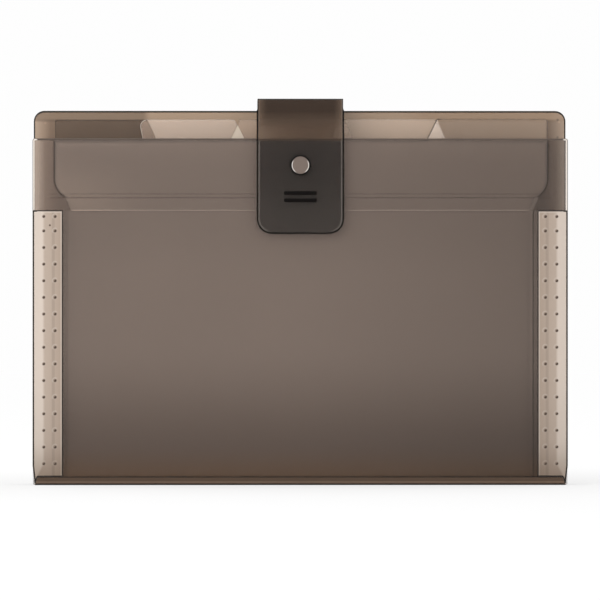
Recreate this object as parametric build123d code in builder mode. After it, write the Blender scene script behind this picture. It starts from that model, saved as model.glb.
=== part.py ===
from build123d import *
import os

# Expanding file: two smoke covers, four tabbed dividers and a tabbed back leaf.
# Folded film gussets join them into five pockets, and a strap with a snap holds them shut.
# Millimetres, +Z up, front towards -Y, standing on the bottom edges of its covers at z = 0.

# Covers
file_width = 330
back_height = 231.9
front_drop = 17.7
cover_thickness = 0.8
front_corner_radius = 1.5
back_corner_radius = 6.5
foot_taper = 1
foot_height = 12

# Score lines pressed into the front cover
score_count = 2
score_pitch = 2.5
score_rise = 7.9
score_margin = 10.5
score_width = 0.8
score_depth = 0.25

# Pockets and the film that joins them
pocket_count = 5
pocket_gap = 5
sheet_thickness = 0.4
film_thickness = 0.3
gusset_height = 169.6
gusset_reach = 23.3
fold_setback = 1
fold_clearance = 0.4
top_cut = 1

# Dividers
divider_bottom = 5.3
wing_left_margin = 12.7
wing_right_margin = 10.7
wing_rise = 8.4
shoulder_drop = 1.2
neck_slant = 3.6
neck_radius = 2
wing_radius = 6.4
wing_root_radius = 0.8

# Tabs from the left to the right, which sit on the sheets from the back to the front
tab_drop = 5.4
tab_laps = [7.5, 9.2, 7.2, 7.2, 7.7]
tab_right_gaps = [3.6, 10.7, 0.4, 8.4, 0]
tab_left_leans = [0, -0.22, 0.47, 0.35, 0.49]
tab_right_leans = [0.45, 0.5, 0.18, 0.43, 0]
tab_left_radii = [0.8, 4.3, 0.8, 0.8, 0.8]
tab_right_radii = [0.8, 1.5, 0.8, 0.8, 2]

# Welded end flaps of the gusset, and their rows of weld spots
flap_width = 18.4
flap_mitre = 3.3
hem_height = 5.3
weld_radius = 0.8
weld_sides = 8
weld_height = 0.15
weld_rows = 15
first_weld = 13.3
last_weld_drop = 12.5
top_weld_drop = 3.6
weld_inset = 6.75
weld_spacing = 7.05

# Strap
strap_width = 52.6
strap_neck_width = 51.8
strap_thickness = 1.2
strap_rise = 6.8
strap_neck_height = 7.2
tongue_below_snap = 42.5
strap_corner_radius = 9.45
strap_edge_bevel = 0.4
tail_length = 60
front_crease_gap = 0.8
back_crease_gap = 1
strap_weld_radius = 2
strap_weld_height = 0.2
strap_weld_spacing = 14
strap_weld_drop = 28

# Grip ribs under the snap
rib_length = 19.8
rib_width = 2.35
rib_height = 0.5
rib_pitch = 4.5
rib_drop = 17.2
rib_count = 2

# Snap button
snap_drop = 16.6
snap_gap = 3
cap_radius = 5.7
cap_height = 1
cap_edge_radius = 0.4
cap_dish_radius = 4.8
cap_dish_depth = 0.2
shank_radius = 1.6
shank_clearance = 0.1
socket_radius = 4.8
socket_height = 2
socket_base = 0.5
socket_bore = 3.8
stud_flange = 0.6
stud_radius = 2
stud_height = 1.7
stud_bore = 1.3
stud_roof = 0.4
post_radius = 1.2
post_disc_radius = 4
post_disc_thickness = 0.5
post_clearance = 0.1

# Places along the depth, from the front of the snap cap to the welds on the strap's tail
layer_pitch = pocket_gap + sheet_thickness
stack_depth = 2 * cover_thickness + pocket_count * layer_pitch
front_extra = cap_height + strap_thickness + snap_gap
back_extra = strap_thickness + strap_weld_height
tongue_front = -(front_extra + stack_depth + back_extra) / 2 + cap_height
tongue_back = tongue_front + strap_thickness
front_face = tongue_back + snap_gap
front_inner = front_face + cover_thickness
back_inner = front_inner + pocket_count * layer_pitch
back_face = back_inner + cover_thickness
tail_back = back_face + strap_thickness

# Heights that follow from the sizes above
front_height = back_height - front_drop
tab_top = back_height - tab_drop
shoulder_height = front_height - shoulder_drop
wing_bottom = gusset_height + wing_rise
strap_top = back_height + strap_rise
strap_middle = strap_top - strap_thickness / 2
snap_height = front_height - snap_drop
strap_bottom = snap_height - tongue_below_snap
weld_pitch = (gusset_height - first_weld - last_weld_drop) / (weld_rows - 1)

# Widths that follow from the sizes above
half_width = file_width / 2
half_neck = half_width - gusset_reach
wing_left = wing_left_margin - half_width
wing_right = half_width - wing_right_margin
tab_pitch = (wing_right - wing_left) / pocket_count
flap_reach = half_width + film_thickness
front_crease = tongue_front + strap_thickness / 2
back_crease = back_face + strap_thickness / 2


def facing(y):
    """Plane at depth y that faces the front, with X across and Z up as its own axes."""
    return Plane(origin=(0, y, 0), x_dir=(1, 0, 0), z_dir=(0, -1, 0))


def sheet_front(number):
    """Depth of the front face of a divider, counted from 1 at the front."""
    return front_inner + number * pocket_gap + (number - 1) * sheet_thickness


def tab_outline(index):
    """Corners of one tab, counted from 0 at the left: left foot, left top, right top and right foot."""
    rise = tab_top - shoulder_height
    left = wing_left + index * tab_pitch - tab_laps[index]
    right = wing_left + (index + 1) * tab_pitch - tab_right_gaps[index]
    left_foot = left - rise * tab_left_leans[index]
    right_foot = right + rise * tab_right_leans[index]
    root = shoulder_height - sheet_thickness
    return [
        (max(left_foot, wing_left), root),
        (max(left, wing_left), tab_top),
        (min(right, wing_right), tab_top),
        (min(right_foot, wing_right), root),
    ]


def neck_and_wing(side, wing_reach):
    """Corners down one side of a sheet, from its foot to its shoulder; side is -1 or 1."""
    return [
        (side * half_neck, divider_bottom),
        (side * half_neck, gusset_height),
        (side * (half_neck + neck_slant), wing_bottom),
        (wing_reach, wing_bottom),
        (wing_reach, shoulder_height),
    ]


def divider(number):
    """Sheet with a narrow neck between the gussets, wide wings above them and one tab."""
    back = sheet_front(number) + sheet_thickness
    tab_index = pocket_count - number
    corner_radii = [neck_radius, neck_radius, wing_root_radius, wing_radius, sheet_thickness]
    with BuildPart() as sheet:
        with BuildSketch(facing(back)):
            with BuildLine():
                FilletPolyline(
                    *neck_and_wing(1, wing_right),
                    *reversed(neck_and_wing(-1, wing_left)),
                    radius=corner_radii + corner_radii[::-1],
                    close=True,
                )
            make_face()
        extrude(amount=sheet_thickness)
        with BuildSketch(facing(back)) as tab:
            Polygon(*tab_outline(tab_index), align=None)
            tops = tab.vertices().group_by(Axis.Y)[-1].sort_by(Axis.X)
            fillet(tops[0], tab_left_radii[tab_index])
            tops = tab.vertices().group_by(Axis.Y)[-1].sort_by(Axis.X)
            fillet(tops[-1], tab_right_radii[tab_index])
        extrude(amount=sheet_thickness)
        with BuildSketch(facing(sheet_front(number))):
            with Locations((0, gusset_height)):
                Rectangle(2 * half_neck, score_width)
        extrude(amount=-sheet_thickness / 3, mode=Mode.SUBTRACT)
    return sheet.part


def gusset(number):
    """Film pleat of one pocket: left side, bottom and right side in one mitred fold."""
    front = front_inner if number == 1 else sheet_front(number - 1) + sheet_thickness
    back = back_inner if number == pocket_count else sheet_front(number)
    if number == 1:
        frusta = [(back, front, flap_reach, 0)]
    elif number == pocket_count:
        frusta = [(front, back, flap_reach, 0)]
    else:
        middle = (front + back) / 2
        fold_reach = half_width - fold_setback
        frusta = [(front, middle, fold_reach, fold_clearance), (back, middle, fold_reach, fold_clearance)]
    with BuildPart() as pleat:
        for narrow, wide, reach, bottom in frusta:
            with BuildSketch(facing(narrow)):
                with Locations((0, divider_bottom)):
                    Rectangle(2 * half_neck, gusset_height - divider_bottom, align=(Align.CENTER, Align.MIN))
            with BuildSketch(facing(wide)):
                with Locations((0, bottom)):
                    Rectangle(2 * reach, gusset_height - bottom, align=(Align.CENTER, Align.MIN))
            loft(ruled=True)
        for narrow, wide, reach, bottom in frusta:
            depth = abs(wide - narrow)
            side_wall = film_thickness * (reach - half_neck) / depth
            bottom_wall = film_thickness * (divider_bottom - bottom) / depth + film_thickness / 2
            low = divider_bottom + bottom_wall
            with BuildSketch(facing(narrow)):
                with Locations((0, low)):
                    Rectangle(
                        2 * (half_neck - side_wall),
                        gusset_height + top_cut - low,
                        align=(Align.CENTER, Align.MIN),
                    )
            low = bottom + bottom_wall
            with BuildSketch(facing(wide)):
                with Locations((0, low)):
                    Rectangle(
                        2 * (reach - side_wall),
                        gusset_height + top_cut - low,
                        align=(Align.CENTER, Align.MIN),
                    )
            loft(ruled=True, mode=Mode.SUBTRACT)
    return pleat.part


def cover(height, corner_radius, back):
    """Plain cover sheet whose rear face lies at depth back, with rounded top corners."""
    with BuildPart() as sheet:
        with BuildSketch(facing(back)) as outline:
            with BuildLine():
                Polyline(
                    (0, 0),
                    (half_width - foot_taper, 0),
                    (half_width, foot_height),
                    (half_width, height),
                    (0, height),
                )
                mirror(about=Plane.YZ)
            make_face()
            fillet(outline.vertices().group_by(Axis.Y)[-1], corner_radius)
        extrude(amount=cover_thickness)
    return sheet.part


def end_flap(side, inner, outer):
    """Film flap welded to a cover's outer face, wrapped round the cover's side edge.

    side is -1 on the left and 1 on the right; inner and outer are the depths of the
    cover's pocket face and of its outer face.
    """
    outward = 1 if outer > inner else -1
    with BuildPart() as flap:
        with BuildSketch(facing(outer)):
            with BuildLine():
                Polyline(
                    (side * (half_width - foot_taper), 0),
                    (side * (flap_reach - flap_mitre), hem_height),
                    (side * (flap_reach - flap_width), hem_height),
                    (side * (flap_reach - flap_width), gusset_height),
                    (side * flap_reach, gusset_height),
                    (side * flap_reach, foot_height),
                    close=True,
                )
            make_face()
        extrude(amount=-outward * film_thickness)
        with BuildSketch(Plane.XY.offset(foot_height)):
            with BuildLine():
                Polyline(
                    (side * half_width, inner),
                    (side * flap_reach, inner),
                    (side * flap_reach, outer + outward * film_thickness),
                    (side * half_width, outer + outward * film_thickness),
                    close=True,
                )
            make_face()
        extrude(amount=gusset_height - foot_height)
    return flap.part


def hem(outer, outward):
    """Bottom strip of the gusset film on a cover's outer face, mitred between the flaps."""
    with BuildPart() as strip:
        with BuildSketch(facing(outer)):
            with BuildLine():
                Polyline(
                    (0, 0),
                    (half_width - foot_taper, 0),
                    (flap_reach - flap_mitre, hem_height),
                    (0, hem_height),
                )
                mirror(about=Plane.YZ)
            make_face()
        extrude(amount=-outward * film_thickness)
    return strip.part


def weld_spots(side, flap_surface, outward):
    """Two columns of weld spots that hold one flap to its cover."""
    middle_height = first_weld + (weld_rows - 1) * weld_pitch / 2
    middle_reach = flap_reach - weld_inset - weld_spacing / 2
    with BuildPart() as spots:
        with BuildSketch(facing(flap_surface)):
            with Locations((side * middle_reach, middle_height)):
                with GridLocations(weld_spacing, weld_pitch, 2, weld_rows):
                    RegularPolygon(weld_radius, weld_sides)
            with Locations((side * middle_reach, gusset_height - top_weld_drop)):
                with GridLocations(weld_spacing, 0, 2, 1):
                    RegularPolygon(weld_radius, weld_sides)
        extrude(amount=-outward * weld_height)
    return spots.part


def finish(piece, name):
    """Name one finished piece and write it under that name."""
    piece.label = name
    export_step(piece, f"parts/{name}.step")


os.makedirs("parts", exist_ok=True)

# Front cover, scored above the gusset and pierced for the snap
with BuildPart() as front_cover:
    add(cover(front_height, front_corner_radius, front_inner))
    with BuildSketch(facing(front_face)):
        with Locations((0, gusset_height + score_rise + (score_count - 1) * score_pitch / 2)):
            with GridLocations(0, score_pitch, 1, score_count):
                Rectangle(file_width - 2 * score_margin, score_width)
    extrude(amount=-score_depth, mode=Mode.SUBTRACT)
    with BuildSketch(facing(front_inner)):
        with Locations((0, snap_height)):
            Circle(post_radius + post_clearance)
    extrude(amount=cover_thickness, mode=Mode.SUBTRACT)
finish(front_cover.part, "front_cover")

# Back cover, taller than the front one
with BuildPart() as back_cover:
    add(cover(back_height, back_corner_radius, back_face))
finish(back_cover.part, "back_cover")

# Dividers, and the last tabbed sheet, which lies against the back cover
for sheet_number in range(1, pocket_count):
    finish(divider(sheet_number), f"divider_{sheet_number}")
finish(divider(pocket_count), "back_leaf")

# One film gusset for each pocket
for pocket_number in range(1, pocket_count + 1):
    finish(gusset(pocket_number), f"gusset_{pocket_number}")

# End flaps, hems and weld spots on both covers
for side, side_name in ((-1, "left"), (1, "right")):
    finish(end_flap(side, front_inner, front_face), f"front_flap_{side_name}")
    finish(end_flap(side, back_inner, back_face), f"back_flap_{side_name}")
    finish(weld_spots(side, front_face - film_thickness, -1), f"front_welds_{side_name}")
    finish(weld_spots(side, back_face + film_thickness, 1), f"back_welds_{side_name}")
finish(hem(front_face, -1), "front_hem")
finish(hem(back_face, 1), "back_hem")

# Tail of the strap on the back cover, ending in a round bead on the back crease
with BuildPart() as strap_tail:
    with BuildSketch(facing(tail_back)) as tail_outline:
        with Locations((0, strap_middle)):
            Rectangle(strap_width, tail_length, align=(Align.CENTER, Align.MAX))
        fillet(tail_outline.vertices().group_by(Axis.Y)[0], strap_corner_radius)
        with Locations((0, strap_middle)):
            for side in (-1, 1):
                with Locations((side * (strap_width + strap_neck_width) / 4, 0)):
                    Rectangle(
                        (strap_width - strap_neck_width) / 2,
                        2 * strap_neck_height,
                        mode=Mode.SUBTRACT,
                    )
    extrude(amount=strap_thickness)
    with BuildSketch(Plane.YZ):
        with Locations((back_crease, strap_middle)):
            Circle(strap_thickness / 2)
    extrude(amount=strap_neck_width / 2, both=True)
finish(strap_tail.part, "strap_tail")

# Weld spots that hold the tail to the back cover
with BuildPart() as strap_welds:
    with BuildSketch(facing(tail_back)):
        with Locations((0, strap_middle - strap_weld_drop)):
            with GridLocations(strap_weld_spacing, strap_weld_spacing, 3, 2):
                Circle(strap_weld_radius)
    extrude(amount=-strap_weld_height)
finish(strap_welds.part, "strap_welds")

# Web of the strap over the top of the file, with a round bead on the front crease
with BuildPart() as strap_web:
    with BuildSketch(Plane.YZ):
        with BuildLine():
            Polyline(
                (front_crease, strap_middle - strap_thickness / 2),
                (back_crease - back_crease_gap, strap_middle - strap_thickness / 2),
                (back_crease - back_crease_gap, strap_top),
                (front_crease, strap_top),
                close=True,
            )
        make_face()
        with Locations((front_crease, strap_middle)):
            Circle(strap_thickness / 2)
    extrude(amount=strap_neck_width / 2, both=True)
finish(strap_web.part, "strap_web")

# Tongue of the strap, with its grip ribs and the hole for the snap's shank
with BuildPart() as strap_tongue:
    with BuildSketch(facing(tongue_back)) as tongue_outline:
        with Locations((0, strap_bottom)):
            Rectangle(
                strap_width,
                strap_top - strap_neck_height - strap_bottom,
                align=(Align.CENTER, Align.MIN),
            )
            Rectangle(
                strap_neck_width,
                strap_middle - front_crease_gap - strap_bottom,
                align=(Align.CENTER, Align.MIN),
            )
        fillet(tongue_outline.vertices().group_by(Axis.Y)[0], strap_corner_radius)
    extrude(amount=strap_thickness)
    rim = strap_tongue.faces().sort_by(Axis.Y)[0].edges()
    chamfer(rim.group_by(Axis.Z)[:-1], strap_edge_bevel)
    with BuildSketch(facing(tongue_front)):
        with Locations((0, snap_height - rib_drop - (rib_count - 1) * rib_pitch / 2)):
            with GridLocations(0, rib_pitch, 1, rib_count):
                Rectangle(rib_length, rib_width)
    extrude(amount=rib_height)
    with BuildSketch(facing(tongue_back)):
        with Locations((0, snap_height)):
            Circle(shank_radius + shank_clearance)
    extrude(amount=strap_thickness, mode=Mode.SUBTRACT)
finish(strap_tongue.part, "strap_tongue")

# Snap cap with its rolled rim and shank
with BuildPart() as snap_cap:
    with BuildSketch(facing(tongue_front)):
        with Locations((0, snap_height)):
            Circle(cap_radius)
    extrude(amount=cap_height)
    fillet(snap_cap.faces().sort_by(Axis.Y)[0].edges(), cap_edge_radius)
    with BuildSketch(facing(tongue_front - cap_height)):
        with Locations((0, snap_height)):
            Circle(cap_dish_radius)
    extrude(amount=-cap_dish_depth, mode=Mode.SUBTRACT)
    with BuildSketch(facing(tongue_front)):
        with Locations((0, snap_height)):
            Circle(shank_radius)
    extrude(amount=-(strap_thickness + socket_base))
finish(snap_cap.part, "snap_cap")

# Snap socket on the tongue's rear face, open towards the stud
with BuildPart() as snap_socket:
    with BuildSketch(facing(tongue_back)):
        with Locations((0, snap_height)):
            Circle(socket_radius)
            Circle(shank_radius + shank_clearance, mode=Mode.SUBTRACT)
    extrude(amount=-socket_height)
    with BuildSketch(facing(tongue_back + socket_height)):
        with Locations((0, snap_height)):
            Circle(socket_bore)
    extrude(amount=socket_height - socket_base, mode=Mode.SUBTRACT)
finish(snap_socket.part, "snap_socket")

# Snap stud on the front cover, bored for the post behind it
with BuildPart() as snap_stud:
    with BuildSketch(facing(front_face)):
        with Locations((0, snap_height)):
            Circle(socket_radius)
    extrude(amount=stud_flange)
    with BuildSketch(facing(front_face)):
        with Locations((0, snap_height)):
            Circle(stud_radius)
    extrude(amount=stud_height)
    with BuildSketch(facing(front_face)):
        with Locations((0, snap_height)):
            Circle(stud_bore)
    extrude(amount=stud_height - stud_roof, mode=Mode.SUBTRACT)
finish(snap_stud.part, "snap_stud")

# Post that clamps the stud through the front cover
with BuildPart() as snap_post:
    with BuildSketch(facing(front_inner + post_disc_thickness)):
        with Locations((0, snap_height)):
            Circle(post_disc_radius)
    extrude(amount=post_disc_thickness)
    with BuildSketch(facing(front_inner)):
        with Locations((0, snap_height)):
            Circle(post_radius)
    extrude(amount=cover_thickness + stud_height - stud_roof - post_clearance)
finish(snap_post.part, "snap_post")
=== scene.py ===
"""Dresses the expanding file: smoke covers, tabbed dividers, film pleats and a strap with a snap."""

import logging
import math
from collections.abc import Sequence
from dataclasses import dataclass
from enum import Enum

import bpy
import numpy as np
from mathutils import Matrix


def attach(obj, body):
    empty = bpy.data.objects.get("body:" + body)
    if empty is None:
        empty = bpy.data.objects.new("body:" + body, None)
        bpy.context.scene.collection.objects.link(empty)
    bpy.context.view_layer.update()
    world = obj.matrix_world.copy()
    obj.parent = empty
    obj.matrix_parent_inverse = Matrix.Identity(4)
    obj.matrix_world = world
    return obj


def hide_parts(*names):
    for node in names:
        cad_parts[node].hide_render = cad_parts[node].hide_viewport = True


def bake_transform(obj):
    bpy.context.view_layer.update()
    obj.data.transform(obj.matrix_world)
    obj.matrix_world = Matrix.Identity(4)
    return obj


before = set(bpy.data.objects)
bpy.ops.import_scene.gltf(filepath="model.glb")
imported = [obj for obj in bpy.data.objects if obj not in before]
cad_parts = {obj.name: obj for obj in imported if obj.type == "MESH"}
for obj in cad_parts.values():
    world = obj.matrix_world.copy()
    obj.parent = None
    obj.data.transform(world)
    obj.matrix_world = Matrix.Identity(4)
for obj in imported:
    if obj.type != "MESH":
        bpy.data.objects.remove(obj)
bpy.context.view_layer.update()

MM = 0.001
Colour = tuple[float, float, float, float]
Socket = bpy.types.NodeSocket
Mesh = bpy.types.Object
log = logging.getLogger("expanding_file")


def screen(red: float, green: float, blue: float) -> Colour:
    """Turns an 8-bit screen colour into a linear one, by the sRGB curve.

    Args:
        red: Red from 0 to 255.
        green: Green from 0 to 255.
        blue: Blue from 0 to 255.

    Returns:
        The linear colour with full alpha.
    """
    share = np.array([red, green, blue], float) / 255
    linear = np.where(share <= 0.04045, share / 12.92, ((share + 0.055) / 1.055) ** 2.4)
    return (float(linear[0]), float(linear[1]), float(linear[2]), 1.0)


class Ease(Enum):
    """How a value runs between two limits."""

    STRAIGHT = "LINEAR"
    SMOOTH = "SMOOTHSTEP"


class Bench:
    """Adds nodes to one node tree and joins them."""

    def __init__(self, tree: bpy.types.NodeTree) -> None:
        """Keeps the tree that the nodes go into."""
        self.tree = tree

    def put(self, socket: Socket, value: object) -> None:
        """Joins an output to a socket, or sets the socket's own value.

        Args:
            socket: The input to fill.
            value: An output socket, or a plain number or colour.
        """
        if isinstance(value, bpy.types.NodeSocket):
            self.tree.links.new(value, socket)
        else:
            socket.default_value = value

    def add(self, kind: str, values: dict | None = None, **settings: object) -> bpy.types.Node:
        """Adds one shader node.

        Args:
            kind: The node's type without its leading ShaderNode.
            values: What goes into its inputs, by name or number.
            **settings: The node's own properties.

        Returns:
            The new node.
        """
        node = self.tree.nodes.new("ShaderNode" + kind)
        for name, setting in settings.items():
            setattr(node, name, setting)
        for key, value in (values or {}).items():
            self.put(node.inputs[key], value)
        return node

    def maths(self, operation: str, *values: object) -> Socket:
        """Adds one Math node.

        Args:
            operation: The node's operation, such as ADD.
            *values: Its inputs in order.

        Returns:
            Its result.
        """
        return self.add("Math", dict(enumerate(values)), operation=operation).outputs[0]

    def less(self, value: object, amount: object) -> Socket:
        """A value less an amount."""
        return self.maths("SUBTRACT", value, amount)

    def rest(self, mask: Socket) -> Socket:
        """What a mask leaves of 1."""
        return self.less(1.0, mask)

    def length(self, first: Socket, second: Socket) -> Socket:
        """Length of two parts at right angles: the square root of the sum of their squares."""
        squares = [self.maths("POWER", part, 2.0) for part in (first, second)]
        return self.maths("SQRT", self.maths("ADD", *squares))

    def split(self, vector: Socket) -> tuple[Socket, ...]:
        """Splits a vector into its three parts."""
        return tuple(self.add("SeparateXYZ", {0: vector}).outputs)

    def lay(self) -> tuple[Socket, ...]:
        """Splits the piece's own map."""
        return self.split(self.add("UVMap", uv_map="lay").outputs[0])

    def between(self, value: object, low: float, high: float, ease: Ease = Ease.SMOOTH) -> Socket:
        """Runs from 0 where value is at low to 1 where it is at high.

        Args:
            value: The value to read.
            low: Where the result is 0.
            high: Where the result is 1.
            ease: The run between the two.

        Returns:
            The share from 0 to 1.
        """
        if low > high:
            return self.rest(self.between(value, high, low, ease))
        values = {"Value": value, "From Min": low, "From Max": high}
        return self.add("MapRange", values, interpolation_type=ease.value).outputs["Result"]

    def band(self, value: object, centre: float, width: float, soft: float) -> Socket:
        """Mask of a stripe: 1 within half its width of the centre, fading over soft.

        Args:
            value: The value to read.
            centre: The middle of the stripe.
            width: The stripe's full width.
            soft: How far it fades on each side.

        Returns:
            The mask from 0 to 1.
        """
        away = self.maths("ABSOLUTE", self.less(value, centre))
        return self.between(away, width / 2 + soft, width / 2)

    def both(self, *masks: Socket) -> Socket:
        """Product of masks."""
        result = masks[0]
        for mask in masks[1:]:
            result = self.maths("MULTIPLY", result, mask)
        return result

    def mix(self, share: object, low: object, high: object) -> Socket:
        """Blends two colours.

        Args:
            share: How much of the second colour there is.
            low: The colour at share 0.
            high: The colour at share 1.

        Returns:
            The blended colour.
        """
        node = self.add("Mix", data_type="RGBA")
        self.put(node.inputs[0], share)
        self.put(node.inputs[6], low)
        self.put(node.inputs[7], high)
        return node.outputs[2]

    def tint(self, share: object, colour: object, factor: float) -> Socket:
        """Multiplies a colour by a grey factor where share is 1.

        Args:
            share: How much of the change there is.
            colour: The colour to change.
            factor: What the colour is multiplied by at share 1.

        Returns:
            The changed colour.
        """
        return self.stain(share, colour, (factor, factor, factor, 1.0))

    def stain(self, share: object, colour: object, factors: Colour) -> Socket:
        """Multiplies a colour by another one where share is 1.

        Args:
            share: How much of the change there is.
            colour: The colour to change.
            factors: The colour that it is multiplied by at share 1.

        Returns:
            The changed colour.
        """
        node = self.add("Mix", data_type="RGBA", blend_type="MULTIPLY")
        self.put(node.inputs[0], share)
        self.put(node.inputs[6], colour)
        self.put(node.inputs[7], factors)
        return node.outputs[2]

    def fade(self, share: object, low: object, high: object) -> Socket:
        """Blends two numbers.

        Args:
            share: How much of the second number there is.
            low: The number at share 0.
            high: The number at share 1.

        Returns:
            The blended number.
        """
        return self.add("MapRange", {"Value": share, "To Min": low, "To Max": high}).outputs["Result"]

    def group(self, tree: bpy.types.NodeTree, **values: object) -> bpy.types.Node:
        """Places a node group with its own values.

        Args:
            tree: The group.
            **values: What goes into its inputs, with _ for a space in a name.

        Returns:
            The group node.
        """
        node = self.add("Group")
        node.node_tree = tree
        for name, value in values.items():
            self.put(node.inputs[name.replace("_", " ")], value)
        return node


class Effects:
    """The shader node groups that more than one material uses, each built once."""

    def __init__(self) -> None:
        """Builds the groups."""
        self.edge = self._edge_distance()
        self.grain = self._film_grain()
        self.weld = self._weld_distance()

    @staticmethod
    def _start(name: str, inputs: Sequence[tuple[str, str]], outputs: Sequence[str]) -> tuple:
        """Starts a group with its sockets.

        Args:
            name: The group's name.
            inputs: Each input's name and kind, VECTOR or FLOAT.
            outputs: The name of each output, all of them numbers.

        Returns:
            The tree, its bench, the input node and the output node.
        """
        tree = bpy.data.node_groups.new(name, "ShaderNodeTree")
        kinds = {"VECTOR": "NodeSocketVector", "FLOAT": "NodeSocketFloat"}
        for label, kind in inputs:
            tree.interface.new_socket(label, in_out="INPUT", socket_type=kinds[kind])
        for label in outputs:
            tree.interface.new_socket(label, in_out="OUTPUT", socket_type=kinds["FLOAT"])
        return tree, Bench(tree), tree.nodes.new("NodeGroupInput"), tree.nodes.new("NodeGroupOutput")

    def _edge_distance(self) -> bpy.types.NodeTree:
        """Distance in millimetres from the outline of an upright rounded sheet, inwards.

        With q as how far a point is past the sheet's inner rectangle on each axis, it is the
        corner radius less the length of q's positive part, less the larger part of q where
        both are negative.

        Returns:
            The group.
        """
        inputs = [("Point", "VECTOR"), ("Half Width", "FLOAT"), ("Low", "FLOAT"), ("High", "FLOAT")]
        tree, bench, given, result = self._start("edge_distance", [*inputs, ("Radius", "FLOAT")], ["Inside"])
        side, _, height = bench.split(given.outputs["Point"])
        radius, high, low = (given.outputs[name] for name in ("Radius", "High", "Low"))
        middle = bench.maths("MULTIPLY", bench.maths("ADD", high, low), 0.5)
        tall = bench.maths("MULTIPLY", bench.less(high, low), 0.5)
        past = []
        for value, half in ((side, given.outputs["Half Width"]), (bench.less(height, middle), tall)):
            past.append(bench.less(bench.maths("ABSOLUTE", value), bench.less(half, radius)))
        outside = bench.length(*[bench.maths("MAXIMUM", part, 0.0) for part in past])
        within = bench.maths("MINIMUM", bench.maths("MAXIMUM", *past), 0.0)
        inside = bench.less(bench.less(radius, outside), within)
        bench.put(result.inputs["Inside"], bench.maths("MULTIPLY", inside, 1 / MM))
        return tree

    def _film_grain(self) -> bpy.types.NodeTree:
        """Fine moulded grain and broad clouds of plastic film.

        Shade is a broad noise plus a share of a fine one, about 0.5. Height is the fine noise.

        Returns:
            The group.
        """
        tree, bench, given, result = self._start("film_grain", [("Point", "VECTOR")], ["Shade", "Height"])
        point = given.outputs["Point"]
        broad = bench.add("TexNoise", {"Vector": point, "Scale": 14.0, "Detail": 2.0})
        fine = bench.add("TexNoise", {"Vector": point, "Scale": 900.0, "Detail": 3.0})
        shares = ((broad, 0.75), (fine, 0.25))
        parts = [bench.maths("MULTIPLY", noise.outputs[0], share) for noise, share in shares]
        bench.put(result.inputs["Shade"], bench.maths("ADD", *parts))
        bench.put(result.inputs["Height"], fine.outputs[0])
        return tree

    def _weld_distance(self) -> bpy.types.NodeTree:
        """Distance in millimetres to the nearest weld spot, and how far to its lower right.

        Width and height above the first spot are each folded into one cell of the grid, the
        height also onto the top row, and the distance is the length of what is left. Lean is
        the way to the right less the way up, over the square root of two.

        Returns:
            The group.
        """
        tree, bench, given, result = self._start("weld_distance", [("Point", "VECTOR")], ["Away", "Lean"])
        side, _, height = bench.split(given.outputs["Point"])
        grid = WeldGrid()
        parts = []
        for value, first, pitch, count in (
            (bench.maths("ABSOLUTE", side), grid.inner_column, grid.spacing, grid.columns),
            (height, grid.first, grid.pitch, grid.rows),
        ):
            steps = bench.maths("DIVIDE", bench.less(value, first), pitch)
            nearest = bench.maths("ROUND", steps)
            held = bench.maths("MAXIMUM", bench.maths("MINIMUM", nearest, count - 1.0), 0.0)
            parts.append(bench.maths("MULTIPLY", bench.less(steps, held), pitch / MM))
        out, up = parts
        over = bench.maths("MULTIPLY", bench.less(height, grid.top), 1 / MM)
        nearer = bench.maths("LESS_THAN", bench.maths("ABSOLUTE", over), bench.maths("ABSOLUTE", up))
        up = bench.fade(nearer, up, over)
        right = bench.maths("MULTIPLY", out, bench.maths("SIGN", side))
        lean = bench.maths("MULTIPLY", bench.less(right, up), math.sqrt(0.5))
        bench.put(result.inputs["Lean"], lean)
        bench.put(result.inputs["Away"], bench.length(out, up))
        return tree


@dataclass(frozen=True)
class WeldGrid:
    """Places of the weld spots on an end flap, in metres."""

    inner_column: float = 151.5 * MM
    spacing: float = 7.05 * MM
    first: float = 13.3 * MM
    pitch: float = 10.2714 * MM
    top: float = 166 * MM
    columns: int = 2
    rows: int = 15


@dataclass(frozen=True)
class FileSizes:
    """The file's sizes that the new pieces share with its solids, in metres."""

    half_width: float = 165 * MM
    half_neck: float = 141.7 * MM
    wing_left: float = -152.3 * MM
    wing_right: float = 153.4 * MM
    wing_drop: float = 4.1 * MM
    flap_reach: float = 165.3 * MM
    flap_inner: float = 146.9 * MM
    gusset_height: float = 169.6 * MM
    front_height: float = 214.2 * MM
    back_height: float = 231.9 * MM
    front_radius: float = 1.5 * MM
    back_radius: float = 6.5 * MM
    divider_bottom: float = 5.3 * MM
    wing_bottom: float = 178 * MM
    shoulder: float = 213 * MM
    neck_slant: float = 3.6 * MM
    wing_radius: float = 13 * MM
    wing_low: float = 176.5 * MM
    tab_top: float = 226.5 * MM
    foot_taper: float = 1 * MM
    foot_height: float = 12 * MM
    hem_height: float = 5.3 * MM
    flap_mitre: float = 3.3 * MM
    strap_half: float = 27 * MM
    strap_radius: float = 9.45 * MM
    strap_top: float = 238.1 * MM
    tongue_end: float = 155.1 * MM
    tail_end: float = 178.1 * MM
    snap_height: float = 197.6 * MM


SIZES = FileSizes()


@dataclass
class Canvas:
    """A material under way: its bench, its shader and the coordinates of the surface."""

    bench: Bench
    shader: bpy.types.Node
    effects: Effects
    point: Socket
    side: Socket
    depth: Socket
    height: Socket


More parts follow.
